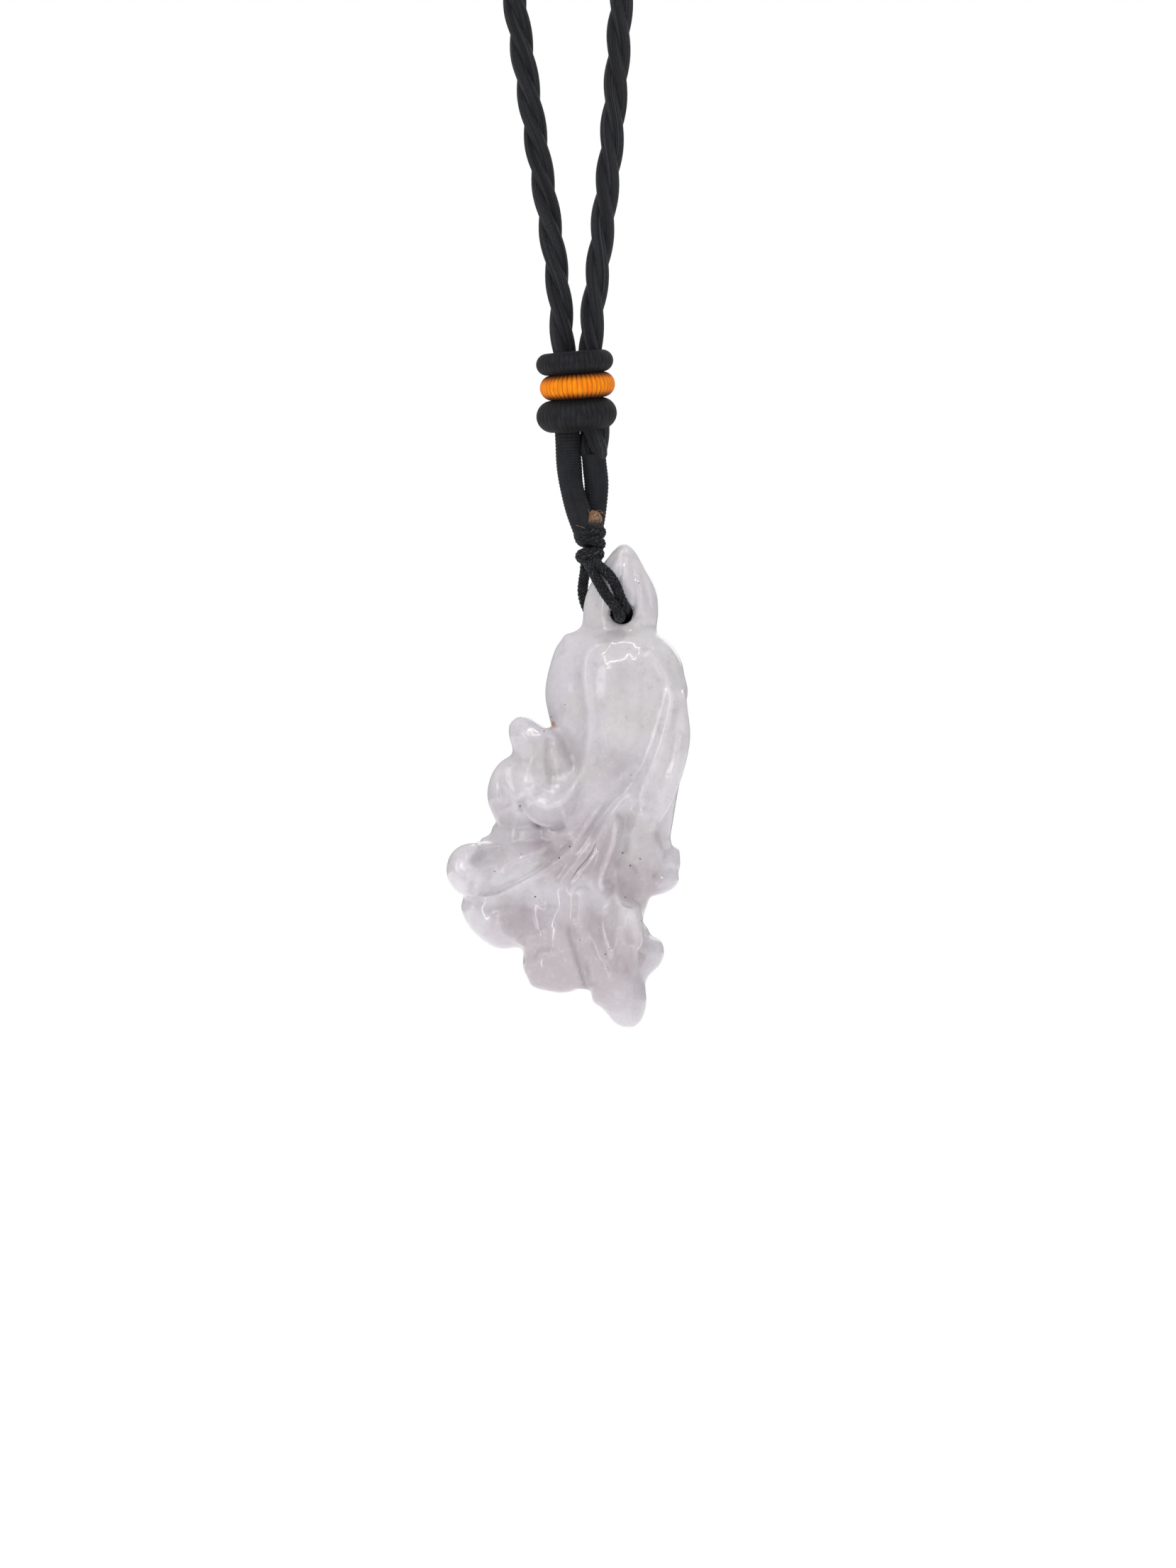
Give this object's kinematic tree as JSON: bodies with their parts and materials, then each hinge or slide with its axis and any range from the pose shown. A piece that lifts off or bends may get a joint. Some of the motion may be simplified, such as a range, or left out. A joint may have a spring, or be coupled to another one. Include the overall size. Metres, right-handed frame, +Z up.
{
  "type": "necklace pendant",
  "caption": "Carved translucent jade leaf-vegetable pendant hung by a doubled thin braided cord from the thread-bound eye of a black twisted neck rope with a wound orange-banded bead.",
  "frame": {"origin": "the neck rest: the inside top of the neck rope, in the middle of the loop, where the necklace lies on the back of the neck", "axes": "+Z up, against the hang; the carved front with the rounder leaves faces -Y; +X is to the viewer's right"},
  "size_m": [0.0629, 0.0127, 0.3768],
  "materials": {
    "satin_rope": "black satin cord, three strands, right-hand twist",
    "black_thread": "black satin thread, wound side by side",
    "orange_thread": "orange satin thread, wound side by side",
    "thin_cord": "thin black braided cord, slightly waxy",
    "singed_cord": "brown melted cord end",
    "jade": "polished translucent jadeite, pale lavender and grey-green clouds"
  },
  "bodies": {
    "necklace": {"neck_rope": "satin_rope", "bead_upper_wrap": "black_thread", "bead_orange_wrap": "orange_thread", "bead_lower_wrap": "black_thread", "wound_loop": "black_thread", "hitch_knot": "thin_cord", "singed_end": "singed_cord", "hanging_cord_left": "thin_cord", "hanging_cord_right": "thin_cord"},
    "stone": {"bok_choy_stone": "jade"}
  },
  "joints": [
    {"name": "stone_swing", "type": "hinge", "parent": "necklace", "child": "stone", "pos_m": [0.00364, 0, -0.3293], "axis": [0, 1, 0], "range_deg": [0, 60]}
  ]
}
